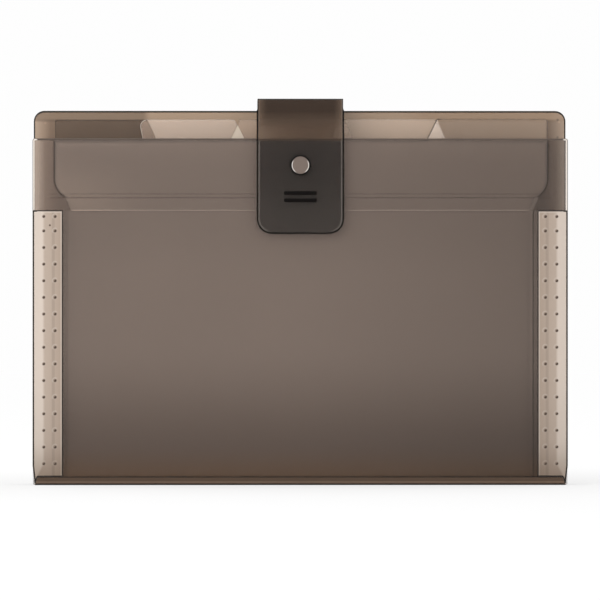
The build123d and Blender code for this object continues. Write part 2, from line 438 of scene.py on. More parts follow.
@dataclass(frozen=True)
class Plastic:
    """A plastic or metal finish. Each kind of finish paints its own colour."""

    name: str
    alpha: float = 1.0
    roughness: float = 0.4
    specular: float = 0.3
    metallic: float = 0.0
    grain_limits: tuple[float, float] = (0.3, 0.7)
    grain_shade: float = 0.975
    grain_depth: float = 0.004 * MM
    grain_strength: float = 0.4
    gloss_change: tuple[float, float] = (-0.03, 0.05)

    def build(self, effects: Effects) -> bpy.types.Material:
        """Builds the material: its colour, with the plastic's grain in shade, roughness and height.

        Args:
            effects: The shared groups.

        Returns:
            The material.
        """
        material = bpy.data.materials.new(self.name)
        material.use_nodes = True
        bench = Bench(material.node_tree)
        shader = material.node_tree.nodes["Principled BSDF"]
        shader.inputs["Specular IOR Level"].default_value = self.specular
        shader.inputs["Alpha"].default_value = self.alpha
        shader.inputs["Metallic"].default_value = self.metallic
        point = bench.add("TexCoord").outputs["Object"]
        canvas = Canvas(bench, shader, effects, point, *bench.split(point))
        colour = self.paint(canvas)
        grain = bench.group(effects.grain, Point=canvas.point)
        shade = bench.between(grain.outputs["Shade"], *self.grain_limits)
        bench.put(shader.inputs["Base Color"], bench.tint(shade, colour, self.grain_shade))
        smooth, rough = (self.roughness + change for change in self.gloss_change)
        bench.put(shader.inputs["Roughness"], bench.fade(shade, smooth, rough))
        relief = {"Height": grain.outputs["Height"], "Distance": self.grain_depth}
        bump = bench.add("Bump", {**relief, "Strength": self.grain_strength})
        bench.put(shader.inputs["Normal"], bump.outputs[0])
        return material

    def paint(self, canvas: Canvas) -> Socket:
        """Paints the finish.

        Args:
            canvas: The material under way.

        Returns:
            The colour before its grain.
        """
        raise NotImplementedError(self.name)


@dataclass(frozen=True)
class Areas:
    """Masks and distances on a cover, by the outline of the dividers' wings and necks.

    The distance inside the wings is in millimetres, and past is how far a point is past the
    leaning side of the necks, in metres. The others are masks.
    """

    above_gusset: Socket
    inside_wings: Socket
    past_neck: Socket
    under_wings: Socket
    at_wings: Socket
    corner: Socket


@dataclass(frozen=True)
class SmokeCover(Plastic):
    """Translucent smoke sheet with a painted glow by its sides, painted shade towards its right and its
    foot, and browner at its base.
    """

    # The side colour is a painted glow; the shares and tints towards the foot, the right, below the crease
    # and deep in the margins are painted shade.
    colour: Colour = screen(137, 121, 111)
    side_glow_colour: Colour = screen(195, 177, 163)
    margin_colour: Colour = screen(128, 110, 99)
    foot_shade_tint: Colour = (0.53, 0.5, 0.48, 1.0)
    base_tint: Colour = (1.06, 0.87, 0.65, 1.0)
    foot_run: tuple[float, float] = (88 * MM, 16 * MM)
    base_run: tuple[float, float] = (26 * MM, 3 * MM)
    right_run: tuple[float, float] = (-30 * MM, 180 * MM)
    crease_shade_run: tuple[float, float] = (125 * MM, 166 * MM)
    crease_band_shade: float = 0.91
    upper_share: float = 0.88
    deep_shade_share: float = 0.75
    right_shade_share: float = 0.72
    right_margin_shade_share: float = 0.66
    glow_reach: float = 7.5 * MM
    deep_reach: float = 18 * MM
    wing_limits: tuple[float, float] = (SIZES.wing_left, SIZES.wing_right)
    neck_shift: float = 0.0
    margin_top: float = 1.0
    rear_limits: tuple[float, float] = (0.0, 1.0)
    rear_tint: Colour = (1.0, 1.0, 1.0, 1.0)
    top_tints: tuple[tuple[float, float, Colour], ...] = ()
    marks: tuple[tuple[float, float, float], ...] = ()
    mark_reach: tuple[float, float] = (1 * MM, 0.4 * MM)
    soft: float = 0.2 * MM

    def paint(self, canvas: Canvas) -> Socket:
        """Paints the ground, what is pressed into it, the broad painted shades, the tints and the marks.

        Args:
            canvas: The material under way.

        Returns:
            The colour before its grain.
        """
        bench, side, height = canvas.bench, canvas.side, canvas.height
        areas = self.areas(canvas)
        colour = self.pressed(canvas, areas, self.ground(canvas, areas))
        # Painted shade: a darker band below the gusset's crease.
        shaded = bench.both(bench.rest(areas.above_gusset), bench.between(height, *self.crease_shade_run))
        colour = bench.tint(shaded, colour, self.crease_band_shade)
        # Painted shade: darker towards the right, away from the lamp.
        colour = bench.tint(bench.between(side, *self.right_run), colour, self.right_shade_share)
        # Painted shade: darker towards the foot.
        colour = bench.stain(bench.between(height, *self.foot_run), colour, self.foot_shade_tint)
        colour = bench.stain(bench.between(height, *self.base_run), colour, self.base_tint)
        # Tints along the top past given sides; the one on the right is painted shade.
        high = bench.between(height, SIZES.tab_top - 2 * MM, SIZES.tab_top)
        for start, stop, factors in self.top_tints:
            colour = bench.stain(bench.both(high, bench.between(side, start, stop)), colour, factors)
        for mark_side, mark_height, factor in self.marks:
            far = bench.length(bench.less(side, mark_side), bench.less(height, mark_height))
            colour = bench.tint(bench.between(far, *self.mark_reach), colour, factor)
        return bench.stain(bench.between(canvas.depth, *self.rear_limits), colour, self.rear_tint)

    def areas(self, canvas: Canvas) -> Areas:
        """Finds where a point lies against the outline of the dividers.

        Args:
            canvas: The material under way.

        Returns:
            The masks and distances.
        """
        bench, side, height = canvas.bench, canvas.side, canvas.height
        above = bench.between(height, SIZES.gusset_height - 0.5 * MM, SIZES.gusset_height + self.soft)
        wing_left, wing_right = self.wing_limits
        centred = bench.less(side, (wing_left + wing_right) / 2)
        wing = bench.group(
            canvas.effects.edge,
            Point=bench.add("CombineXYZ", {"X": centred, "Z": height}).outputs[0],
            Half_Width=(wing_right - wing_left) / 2,
            Low=SIZES.wing_low,
            High=1.0,
            Radius=SIZES.wing_radius,
        )
        lean = SIZES.neck_slant / (SIZES.wing_bottom - SIZES.gusset_height)
        rise = bench.less(height, SIZES.gusset_height)
        neck = bench.maths("MULTIPLY_ADD", rise, lean, SIZES.half_neck + self.neck_shift)
        past = bench.less(bench.maths("ABSOLUTE", bench.less(side, self.neck_shift)), neck)
        under = bench.between(height, SIZES.wing_bottom + self.soft, SIZES.wing_bottom - self.soft)
        corner = bench.both(bench.between(past, -self.soft, self.soft), under)
        return Areas(above, wing.outputs["Inside"], past, under, bench.rest(under), corner)

    def ground(self, canvas: Canvas, areas: Areas) -> Socket:
        """Colour of the sheet with its margins beside the dividers, painted shade in them, and the painted
        glow on its sides.

        Args:
            canvas: The material under way.
            areas: The masks and distances.

        Returns:
            The colour.
        """
        bench, above = canvas.bench, areas.above_gusset
        upright = bench.both(above, bench.between(canvas.height, self.margin_top, self.margin_top - 2 * MM))
        beside = bench.both(bench.between(areas.inside_wings, 0.4, -0.4), areas.at_wings)
        outside = bench.maths("MAXIMUM", beside, areas.corner)
        margin = bench.both(outside, upright)
        colour = bench.mix(margin, bench.tint(above, self.colour, self.upper_share), self.margin_colour)
        inside = bench.less(SIZES.half_width, bench.maths("ABSOLUTE", canvas.side))
        # Painted shade: the margins darken further in from the sides, between the layers.
        deep = bench.between(inside, self.glow_reach, self.deep_reach)
        colour = bench.tint(bench.both(deep, margin), colour, self.deep_shade_share)
        # Painted glow: paler towards the sides above the gusset.
        glow = bench.between(inside, self.glow_reach, 0.0, Ease.STRAIGHT)
        colour = bench.mix(bench.both(glow, above), colour, self.side_glow_colour)
        # Painted shade: the margins are darker on the right.
        right = bench.between(canvas.side, 0.0, 10 * MM)
        return bench.tint(bench.both(right, outside, above), colour, self.right_margin_shade_share)

    def pressed(self, canvas: Canvas, areas: Areas, colour: Socket) -> Socket:
        """Adds what is pressed into the sheet, which is nothing on a plain cover."""
        return colour


@dataclass(frozen=True)
class PressedCover(SmokeCover):
    """Cover with score lines, and with painted light and shade: shade in the score lines, shadows along the
    dividers' outline, a highlight and shade at the gusset's crease, a glow, and darker lines below the
    gusset.
    """

    # Painted light and shade: shade in the score lines, shadows along the wings and necks, a highlight and
    # shade at the crease, and a glow.
    score_line_shades: tuple[tuple[float, float], ...] = ((179.7 * MM, 0.94), (177.65 * MM, 0.78))
    score_margin: float = 10.5 * MM
    wing_limits: tuple[float, float] = (-151.8 * MM, 152.9 * MM)
    neck_shift: float = 1.1 * MM
    wing_edge_shadow: float = 0.5
    neck_edge_shadow: float = 0.8
    crease_highlight: Colour = (1.55, 1.55, 1.55, 1.0)
    crease_low_shade: float = 0.84
    glow_tint: Colour = (1.3, 1.29, 1.26, 1.0)
    dark_side_lines: tuple[tuple[float, float, float], ...] = (
        (-144.9 * MM, 2.8 * MM, 0.8),
        (145.4 * MM, 2.6 * MM, 0.86),
        (144 * MM, 0.6 * MM, 0.45),
        (-143.2 * MM, 0.4 * MM, 0.92),
        (141.8 * MM, 0.4 * MM, 0.92),
    )

    def pressed(self, canvas: Canvas, areas: Areas, colour: Socket) -> Socket:
        """Adds painted shade in the score lines, painted shadows along the wings and necks, a painted
        highlight and shade at the crease, a painted glow and darker lines below the gusset.

        Args:
            canvas: The material under way.
            areas: The masks and distances.
            colour: The colour so far.

        Returns:
            The colour.
        """
        bench, side, height = canvas.bench, canvas.side, canvas.height
        fine, thin = 0.3 * MM, 0.4 * MM
        across = bench.maths("ABSOLUTE", side)
        inside = bench.less(SIZES.half_width, across)
        within = bench.between(inside, self.score_margin - 0.5 * MM, self.score_margin + 0.5 * MM)
        # Painted shade in the score grooves.
        for line_height, share in self.score_line_shades:
            line = bench.both(bench.band(height, line_height, thin, fine), within)
            colour = bench.tint(line, colour, share)
        # Painted shadow of the dividers' edges along the wings' outline.
        outline = bench.both(
            bench.band(areas.inside_wings, -0.35, 1.1, 0.3),
            bench.between(height, SIZES.wing_bottom - self.soft, SIZES.wing_bottom + self.soft),
            bench.between(height, SIZES.front_height - MM, SIZES.front_height - 2 * MM),
        )
        colour = bench.tint(outline, colour, self.wing_edge_shadow)
        # Painted shadow along the necks.
        neck = bench.band(areas.past_neck, self.soft, fine, thin)
        colour = bench.tint(bench.both(neck, areas.under_wings, areas.above_gusset), colour, self.neck_edge_shadow)
        # Painted highlight above the crease and painted shade below it.
        narrow = bench.between(across, SIZES.half_neck, SIZES.half_neck - 0.6 * MM)
        bright = bench.band(height, SIZES.gusset_height + 0.15 * MM, thin, 0.25 * MM)
        colour = bench.stain(bench.both(bright, narrow), colour, self.crease_highlight)
        dark = bench.band(height, SIZES.gusset_height - 0.6 * MM, thin, fine)
        colour = bench.tint(bench.both(dark, narrow), colour, self.crease_low_shade)
        # Painted glow at the upper left, by the wings' edge.
        left, top = bench.between(side, -88 * MM, -140 * MM), bench.between(height, 208 * MM, 174 * MM)
        wide = bench.both(bench.between(areas.inside_wings, -0.2, 0.2), areas.at_wings)
        beside = bench.both(bench.between(areas.past_neck, self.soft, -self.soft), areas.under_wings)
        sheet = bench.maths("MAXIMUM", wide, beside)
        colour = bench.stain(bench.both(left, top, areas.above_gusset, sheet), colour, self.glow_tint)
        # Darker lines below the gusset, beside the flaps.
        below = bench.rest(areas.above_gusset)
        for line_place, width, share in self.dark_side_lines:
            colour = bench.tint(bench.both(bench.band(side, line_place, width, fine), below), colour, share)
        return colour


@dataclass(frozen=True)
class Lap:
    """Part of a tab that lies over or under the next tab, up to a leaning line.

    The line is at edge where the tab ends at the top, and leans with each metre down from there.
    """

    edge: float
    lean: float
    colour: Colour
    alpha: float
    to_right: bool = False


@dataclass(frozen=True)
class SheetPlastic(Plastic):
    """Divider film, smoke or frosted, with a painted highlight and shade at the crease where its neck
    begins, and painted shade towards its foot.
    """

    colour: Colour = screen(150, 135, 122)
    laps: tuple[Lap, ...] = ()
    # The crease colours are a painted highlight and painted shade.
    crease_highlight: Colour = screen(240, 226, 212)
    crease_low_shade: Colour = screen(50, 42, 36)
    foot_shade_share: float = 0.85

    def paint(self, canvas: Canvas) -> Socket:
        """Paints the film with painted shade towards its foot, its laps with their own alpha, and a painted
        highlight and shade at its crease.

        Args:
            canvas: The material under way.

        Returns:
            The colour before its grain.
        """
        bench, height = canvas.bench, canvas.height
        # Painted shade: darker towards the foot.
        colour = bench.tint(bench.between(height, 90 * MM, 5 * MM), self.colour, self.foot_shade_share)
        alpha = self.alpha
        top = bench.between(height, SIZES.shoulder, SIZES.shoulder + MM)
        for lap in self.laps:
            line = bench.maths("MULTIPLY_ADD", bench.less(SIZES.tab_top, height), lap.lean, lap.edge)
            soft = -0.2 * MM if lap.to_right else 0.2 * MM
            share = bench.both(bench.between(bench.less(line, canvas.side), -soft, soft), top)
            colour = bench.mix(share, colour, lap.colour)
            alpha = bench.fade(share, alpha, lap.alpha)
        bench.put(canvas.shader.inputs["Alpha"], alpha)
        # Painted highlight above the crease and painted shade below it.
        upper = bench.band(height, SIZES.gusset_height + 0.3 * MM, 0.5 * MM, 0.25 * MM)
        lower = bench.band(height, SIZES.gusset_height - 0.5 * MM, 0.4 * MM, 0.3 * MM)
        return bench.mix(lower, bench.mix(upper, colour, self.crease_highlight), self.crease_low_shade)


@dataclass(frozen=True)
class SheetRim(Plastic):
    """Cut edge of a divider: a broad dark line round the wings, a fine one round the tab, which where pale
    is a painted highlight.
    """

    dark: Colour = screen(34, 29, 26)
    line: Colour = screen(210, 195, 182)
    wing_alpha: float = 0.8
    neck_alpha: float = 0.3
    tab_alpha: float = 0.5
    weak_from: float = 1.0
    weak_share: float = 0.4

    def paint(self, canvas: Canvas) -> Socket:
        """Paints both lines by the bead's own map, which also gives their alpha.

        Args:
            canvas: The material under way.

        Returns:
            The colour before its grain.
        """
        bench, height = canvas.bench, canvas.height
        across = bench.lay()[0]
        tab = bench.between(height, SIZES.shoulder + 0.3 * MM, SIZES.shoulder + 1.3 * MM)
        fine = bench.both(bench.between(across, 0.55, 0.75), tab)
        colour = bench.mix(bench.between(across, 0.82, 0.9), self.line, self.dark)
        neck = bench.between(height, SIZES.gusset_height + MM, SIZES.gusset_height - MM)
        dense = bench.fade(neck, self.wing_alpha, self.neck_alpha)
        wing = bench.both(bench.between(across, 0.05, 0.3), dense)
        weak = bench.between(canvas.side, self.weak_from, self.weak_from + 2 * MM)
        strength = bench.fade(weak, self.tab_alpha, self.tab_alpha * self.weak_share)
        bench.put(canvas.shader.inputs["Alpha"], bench.fade(tab, wing, bench.both(fine, strength)))
        return bench.mix(fine, self.dark, colour)


@dataclass(frozen=True)
class FlapFilm(Plastic):
    """Pale welded film of the end flaps: palest by the fold in a painted reflection, with a painted
    highlight round each weld spot.

    A stray pin mark lies between the two columns near the top of the left front flap.
    """

    # The outer colour is a painted reflection and the line colour a painted highlight; the mark colour also
    # paints shade on the weld rings.
    outer: Colour = screen(220, 205, 192)
    middle: Colour = screen(191, 173, 158)
    inner: Colour = screen(179, 160, 144)
    line: Colour = screen(222, 209, 197)
    mark: Colour = screen(96, 78, 66)
    foot_shade_tint: Colour = (0.62, 0.58, 0.54, 1.0)
    low_shade_share: float = 0.86
    right_shade_share: float = 0.92
    crease_place: float = 152.6 * MM
    crease_band_shade: float = 0.86
    fold_place: float = 158.2 * MM
    fold_lean: float = 6 * MM
    mark_place: tuple[float, float] = (-154.7 * MM, 160.5 * MM)

    def paint(self, canvas: Canvas) -> Socket:
        """Paints the stripes along the fold with painted shade at the crease and a painted reflection by the
        fold, painted highlights on the rims and round the weld spots, the weld rings with painted shade at
        their lower right, the pin mark, and painted shade towards the right and the foot.

        Args:
            canvas: The material under way.

        Returns:
            The colour before its grain.
        """
        bench, side, height = canvas.bench, canvas.side, canvas.height
        across = bench.maths("ABSOLUTE", side)
        lean = bench.maths("MULTIPLY", bench.between(height, 13 * MM, 2 * MM, Ease.STRAIGHT), self.fold_lean)
        beside = bench.less(across, lean)
        colour = bench.mix(bench.between(across, SIZES.flap_inner, self.fold_place), self.inner, self.middle)
        # Painted shade at the crease.
        crease = bench.band(across, self.crease_place, 1.2 * MM, 0.6 * MM)
        colour = bench.tint(crease, colour, self.crease_band_shade)
        # Painted reflection: the palest band by the fold.
        outside = bench.between(beside, self.fold_place - 0.6 * MM, self.fold_place + 1.4 * MM)
        colour = bench.mix(outside, colour, self.outer)
        # Painted highlights along the inner and top edges.
        rims = ((across, SIZES.flap_inner + 0.7 * MM), (height, SIZES.gusset_height - 0.9 * MM))
        for value, centre in rims:
            line = bench.band(value, centre, 0.5 * MM, 0.4 * MM)
            colour = bench.mix(bench.maths("MULTIPLY", line, 0.5), colour, self.line)
        weld = bench.group(canvas.effects.weld, Point=canvas.point)
        # Painted highlight round each weld spot, mostly at its upper left.
        halo = bench.band(weld.outputs["Away"], 1.6, 0.3, 0.5)
        upper_left = bench.between(weld.outputs["Lean"], 0.4, -0.8)
        colour = bench.mix(bench.both(halo, bench.fade(upper_left, 0.06, 0.3)), colour, self.line)
        # Dark weld ring, with painted shade making it darker at its lower right.
        ring = bench.between(weld.outputs["Away"], 1.25, 0.8)
        colour = bench.mix(bench.both(ring, bench.fade(upper_left, 0.7, 0.3)), colour, self.mark)
        mark_side, mark_height = self.mark_place
        far = bench.length(bench.less(side, mark_side), bench.less(height, mark_height))
        spot = bench.both(bench.between(far, 0.8 * MM, 0.4 * MM), bench.between(canvas.depth, 0.0, -MM))
        colour = bench.mix(spot, colour, self.mark)
        # Painted shade: darker towards the right, low down and at the foot.
        colour = bench.tint(bench.between(side, -60 * MM, 60 * MM), colour, self.right_shade_share)
        colour = bench.tint(bench.between(height, 75 * MM, 10 * MM), colour, self.low_shade_share)
        return bench.stain(bench.between(height, 30 * MM, 1 * MM), colour, self.foot_shade_tint)


@dataclass(frozen=True)
class WeldMark(Plastic):
    """Weld spot: its own middle tone, with painted shade at its lower right and a painted highlight at its
    upper left.
    """

    # The dark colour is painted shade and the pale one a painted highlight; the middle one is the spot's own
    # tone.
    dark: Colour = screen(70, 55, 46)
    middle: Colour = screen(102, 85, 74)
    pale: Colour = screen(140, 122, 108)

    def paint(self, canvas: Canvas) -> Socket:
        """Paints the spot's painted highlight and shade by the way from its upper left to its lower right.

        Args:
            canvas: The material under way.

        Returns:
            The colour before its grain.
        """
        bench = canvas.bench
        lean = bench.group(canvas.effects.weld, Point=canvas.point).outputs["Lean"]
        colour = bench.mix(bench.between(lean, -0.6, -0.3), self.pale, self.middle)
        return bench.mix(bench.between(lean, -0.3, 0.15), colour, self.dark)


@dataclass(frozen=True)
class PlainFilm(Plastic):
    """Film or dense plastic of one tone with its grain, and painted shade towards its foot."""

    colour: Colour = (0.5, 0.45, 0.4, 1.0)
    foot_shade_share: float = 1.0

    def paint(self, canvas: Canvas) -> Socket:
        """Paints one tone, with painted shade at the foot."""
        low = canvas.bench.between(canvas.height, 95 * MM, 3 * MM)
        return canvas.bench.tint(low, self.colour, self.foot_shade_share)


@dataclass(frozen=True)
class HemFilm(Plastic):
    """Dark bottom strip with a dark top line, a pale fold line and a very dark lower edge."""

    colour: Colour = screen(91, 72, 57)
    line: Colour = screen(124, 102, 85)
    dark: Colour = screen(34, 27, 22)

    def paint(self, canvas: Canvas) -> Socket:
        """Paints the strip's lines by their height.

        Args:
            canvas: The material under way.

        Returns:
            The colour before its grain.
        """
        bench, height = canvas.bench, canvas.height
        colour = bench.mix(bench.band(height, 1.9 * MM, 0.3 * MM, 0.4 * MM), self.colour, self.line)
        colour = bench.mix(bench.between(height, 1.1 * MM, 0.6 * MM), colour, self.dark)
        top = bench.between(height, SIZES.hem_height - 0.8 * MM, SIZES.hem_height - 0.4 * MM)
        return bench.mix(top, colour, self.dark)


@dataclass(frozen=True)
class CutEdge(Plastic):
    """Cut edge of a sheet in three stripes from its outer side, by the bead's own map.

    On the upright sides the stripes may differ, the middle one a paler painted highlight, and the foot is
    always dark. The inner stripe fades out, on the upright sides at a limit of their own.
    """

    outer: Colour = screen(60, 52, 46)
    middle: Colour = screen(60, 52, 46)
    side_outer: Colour | None = None
    side_middle_highlight: Colour | None = None
    foot: Colour = screen(36, 30, 26)
    limits: tuple[float, float] = (0.35, 0.7)
    side_limit: float = 0.35

    def paint(self, canvas: Canvas) -> Socket:
        """Paints the stripes, with the alpha of what is seen of them.

        Args:
            canvas: The material under way.

        Returns:
            The colour before its grain.
        """
        bench = canvas.bench
        across = bench.lay()[0]
        width = bench.maths("ABSOLUTE", canvas.side)
        side = bench.between(width, SIZES.half_width - 3 * MM, SIZES.half_width - 1.6 * MM)
        middle = bench.mix(side, self.middle, self.side_middle_highlight or self.middle)
        outer = bench.mix(side, self.outer, self.side_outer or self.outer)
        inner_limit, outer_limit = self.limits
        colour = bench.mix(bench.between(across, outer_limit - 0.06, outer_limit + 0.06), middle, outer)
        start = bench.fade(side, inner_limit, self.side_limit)
        seen = bench.between(bench.less(across, start), -0.1, 0.05)
        bench.put(canvas.shader.inputs["Alpha"], bench.maths("MULTIPLY", seen, self.alpha))
        return bench.mix(bench.between(canvas.height, 12 * MM, 1 * MM), colour, self.foot)


@dataclass(frozen=True)
class StrapPlastic(Plastic):
    """Dense smoke strap, by its own map: its width, and its height as if it stood straight.

    It is denser round its bend. Its tones are partly painted light: paler above the front cover, where more
    light comes through from behind. Just inside its upright edges it has a painted glow and a painted
    highlight line; its edges are dark, with painted shade in the crease and a painted shadow in a ring round
    the snap.
    """

    low: float = SIZES.tongue_end
    colour: Colour = screen(38, 36, 35)
    foot: Colour = screen(56, 53, 50)
    # The upper tones are partly painted light, the side tone is a painted glow, the edge line colour is a
    # painted highlight, and the dark edge colour also paints the shade in the crease and the shadow round
    # the snap.
    upper: Colour = screen(88, 70, 57)
    shoulder: Colour = screen(84, 69, 58)
    top: Colour = screen(63, 50, 41)
    side: Colour = screen(118, 99, 84)
    edge_highlight: Colour = screen(150, 142, 136)
    dark_edge: Colour = screen(10, 8, 7)
    bend_alpha: float = 0.8
    radius: float = SIZES.strap_radius
    crease: float = 238.6 * MM
    has_snap: bool = True

    def paint(self, canvas: Canvas) -> Socket:
        """Paints the tones up the strap, partly painted light, its painted glow and highlight line, its
        edges, the painted shade in its crease and the painted shadow round the snap.

        Args:
            canvas: The material under way.

        Returns:
            The colour before its grain.
        """
        bench = canvas.bench
        side, rise, _ = bench.lay()
        canvas.point = bench.add("CombineXYZ", {"X": side, "Z": rise}).outputs[0]
        inside = bench.group(
            canvas.effects.edge,
            Point=canvas.point,
            Half_Width=SIZES.strap_half,
            Low=self.low,
            High=1.0,
            Radius=self.radius,
        ).outputs["Inside"]
        colour = bench.mix(bench.between(rise, 200 * MM, 160 * MM), self.colour, self.foot)
        # Partly painted light: paler above the front cover, where more light comes through from behind.
        above = bench.between(rise, 211 * MM, 215 * MM)
        colour = bench.mix(above, colour, self.upper)
        colour = bench.mix(bench.between(rise, 219 * MM, 227 * MM), colour, self.shoulder)
        colour = bench.mix(bench.between(rise, 223 * MM, 232 * MM), colour, self.top)
        # Painted glow just inside the edges.
        glow = bench.both(bench.between(inside, 7.0, 0.0), above)
        colour = bench.mix(bench.maths("MULTIPLY", glow, 0.6), colour, self.side)
        # Painted highlight line along the upright edges.
        upright = bench.between(bench.maths("ABSOLUTE", side), 17 * MM, 23 * MM)
        line = bench.both(bench.band(inside, 1.5, 0.4, 0.3), upright, bench.fade(above, 0.55, 0.15))
        colour = bench.mix(line, colour, self.edge_highlight)
        # Dark edges, with painted shade in the crease.
        fold = bench.band(rise, self.crease, 1.2 * MM, 0.3 * MM)
        rim = bench.maths("MAXIMUM", bench.between(inside, 1.15, 0.9), fold)
        # Painted shadow in a ring round the snap.
        if self.has_snap:
            far = bench.length(side, bench.less(rise, SIZES.snap_height))
            rim = bench.maths("MAXIMUM", rim, bench.between(far, 6.9 * MM, 6.1 * MM))
        bend = bench.maths("MAXIMUM", bench.between(rise, 217 * MM, 228 * MM), rim)
        bench.put(canvas.shader.inputs["Alpha"], bench.fade(bend, self.alpha, self.bend_alpha))
        return bench.mix(rim, colour, self.dark_edge)


@dataclass(frozen=True)
class CapMetal(Plastic):
    """Satin metal of the snap: a dull face, a rolled rim with painted highlights on its sides, and a painted
    shadow round it.
    """

    # The rim colour is a painted highlight and the shade colour a painted shadow.
    face: Colour = screen(125, 112, 104)
    rim: Colour = screen(250, 244, 238)
    shade: Colour = screen(26, 22, 20)
    rim_radius: float = 5.1

    def paint(self, canvas: Canvas) -> Socket:
        """Paints the face, the rim's lit sides and the shade round it.

        Args:
            canvas: The material under way.

        Returns:
            The colour before its grain.
        """
        bench = canvas.bench
        rise = bench.less(canvas.height, SIZES.snap_height)
        away = bench.maths("DIVIDE", bench.length(canvas.side, rise), MM)
        ring = bench.band(away, self.rim_radius, 0.15, 0.22)
        sideways = bench.maths("DIVIDE", bench.maths("ABSOLUTE", canvas.side), self.rim_radius * MM)
        lit = bench.both(bench.between(sideways, 0.4, 0.8), bench.between(rise, 3.4 * MM, 1.4 * MM))
        colour = bench.mix(ring, self.face, bench.mix(lit, self.face, self.rim))
        outside = bench.between(away, self.rim_radius + 0.15, self.rim_radius + 0.35)
        return bench.mix(outside, colour, self.shade)


class Finishes:
    """Every finish of the file, built once."""

    def __init__(self) -> None:
        """Builds the materials."""
        effects = Effects()
        self.front_cover = PressedCover("smoke_front", alpha=0.5).build(effects)
        # The back cover's side glow is painted light; its shade towards the right and the foot, and its tint
        # along the top at the right, are painted shade.
        self.back_cover = SmokeCover(
            "smoke_back",
            alpha=0.77,
            colour=screen(182, 152, 122),
            side_glow_colour=screen(194, 166, 140),
            margin_colour=screen(128, 99, 73),
            upper_share=1.0,
            deep_shade_share=1.0,
            right_shade_share=0.84,
            right_margin_shade_share=0.98,
            glow_reach=10 * MM,
            margin_top=SIZES.tab_top + MM,
            rear_limits=(15.7 * MM, 15.9 * MM),
            rear_tint=(0.55, 0.68, 0.9, 1.0),
            foot_shade_tint=(0.62, 0.62, 0.62, 1.0),
            base_tint=(1.0, 0.93, 0.82, 1.0),
            top_tints=(
                (-92 * MM, -98 * MM, (0.56, 0.52, 0.47, 1.0)),
                (60 * MM, 80 * MM, (0.92, 0.87, 0.81, 1.0)),
            ),
            marks=(
                (160.5 * MM, 226.5 * MM, 0.55),
                (161.5 * MM, 225.2 * MM, 1.3),
                (160.5 * MM, 215.6 * MM, 0.55),
                (161.5 * MM, 214.4 * MM, 1.4),
                (-158.2 * MM, 224.4 * MM, 1.2),
            ),
        ).build(effects)
        dividers = (
            SheetPlastic(
                "frosted_1",
                alpha=0.19,
                colour=screen(136, 119, 108),
                laps=(Lap(84.58 * MM, 0.43, screen(240, 224, 210), 0.25),),
            ),
            SheetPlastic("frosted_2", alpha=0.22, colour=screen(224, 203, 185)),
            SheetPlastic(
                "frosted_3",
                alpha=0.19,
                colour=screen(224, 198, 178),
                laps=(Lap(-40.4 * MM, 0.5, screen(255, 240, 220), 0.42),),
            ),
            SheetPlastic(
                "frosted_4",
                alpha=0.22,
                colour=screen(255, 236, 220),
                laps=(
                    Lap(-36.7 * MM, -0.47, screen(255, 246, 236), 0.3, True),
                    Lap(-94.7 * MM, 0.45, screen(224, 197, 177), 0.22),
                ),
            ),
            SheetPlastic("smoke_leaf", alpha=0.5, colour=screen(112, 92, 76)),
        )
        self.dividers = [divider.build(effects) for divider in dividers]
        # Where the fine line round a tab is pale, it is a painted highlight.
        dark, bright = screen(40, 33, 29), screen(238, 224, 210)
        rims = (
            SheetRim("rim_1", line=dark, tab_alpha=0.8, weak_from=86 * MM, weak_share=0.25),
            SheetRim("rim_2", line=screen(190, 172, 157), tab_alpha=0.25),
            SheetRim("rim_3", line=screen(150, 130, 116), tab_alpha=0.2),
            SheetRim("rim_4", line=bright, tab_alpha=0.8, weak_from=-97 * MM, weak_share=0.3),
            SheetRim("rim_leaf", line=screen(84, 70, 60), tab_alpha=0.2),
        )
        self.rims = [rim.build(effects) for rim in rims]
        self.flap = FlapFilm("flap_film", alpha=0.93, roughness=0.5).build(effects)
        self.hem = HemFilm("hem_film", alpha=0.8).build(effects)
        self.pleat = PlainFilm(
            "pleat_film", alpha=0.3, colour=screen(178, 160, 146), foot_shade_share=0.5, roughness=0.5
        ).build(effects)
        self.weld = WeldMark("weld_mark", roughness=0.5).build(effects)
        dense = {"alpha": 0.4, "roughness": 0.42, "specular": 0.12}
        self.strap_front = StrapPlastic("smoke_strap_front", **dense).build(effects)
        self.strap_back = StrapPlastic(
            "smoke_strap_back", low=SIZES.tail_end, has_snap=False, **dense
        ).build(effects)
        self.rib = PlainFilm("grip_rib", colour=screen(16, 13, 12), specular=0.05).build(effects)
        self.metal = CapMetal("snap_metal", metallic=0.9, roughness=0.35, specular=0.5).build(effects)
        self.dark_edge = CutEdge(
            "dark_edge", alpha=0.96, outer=screen(38, 32, 28), middle=screen(46, 39, 34), side_limit=0.5
        ).build(effects)
        self.flap_edge = CutEdge(
            "flap_edge", alpha=0.94, outer=screen(44, 38, 34), middle=screen(52, 45, 40), limits=(0.55, 0.8)
        ).build(effects)
        # The near-white middle stripe on the front cover's upright sides is a painted highlight.
        self.front_edge = CutEdge(
            "front_edge",
            alpha=0.95,
            outer=screen(92, 80, 72),
            middle=screen(86, 74, 66),
            side_outer=screen(128, 120, 113),
            side_middle_highlight=screen(244, 234, 224),
        ).build(effects)


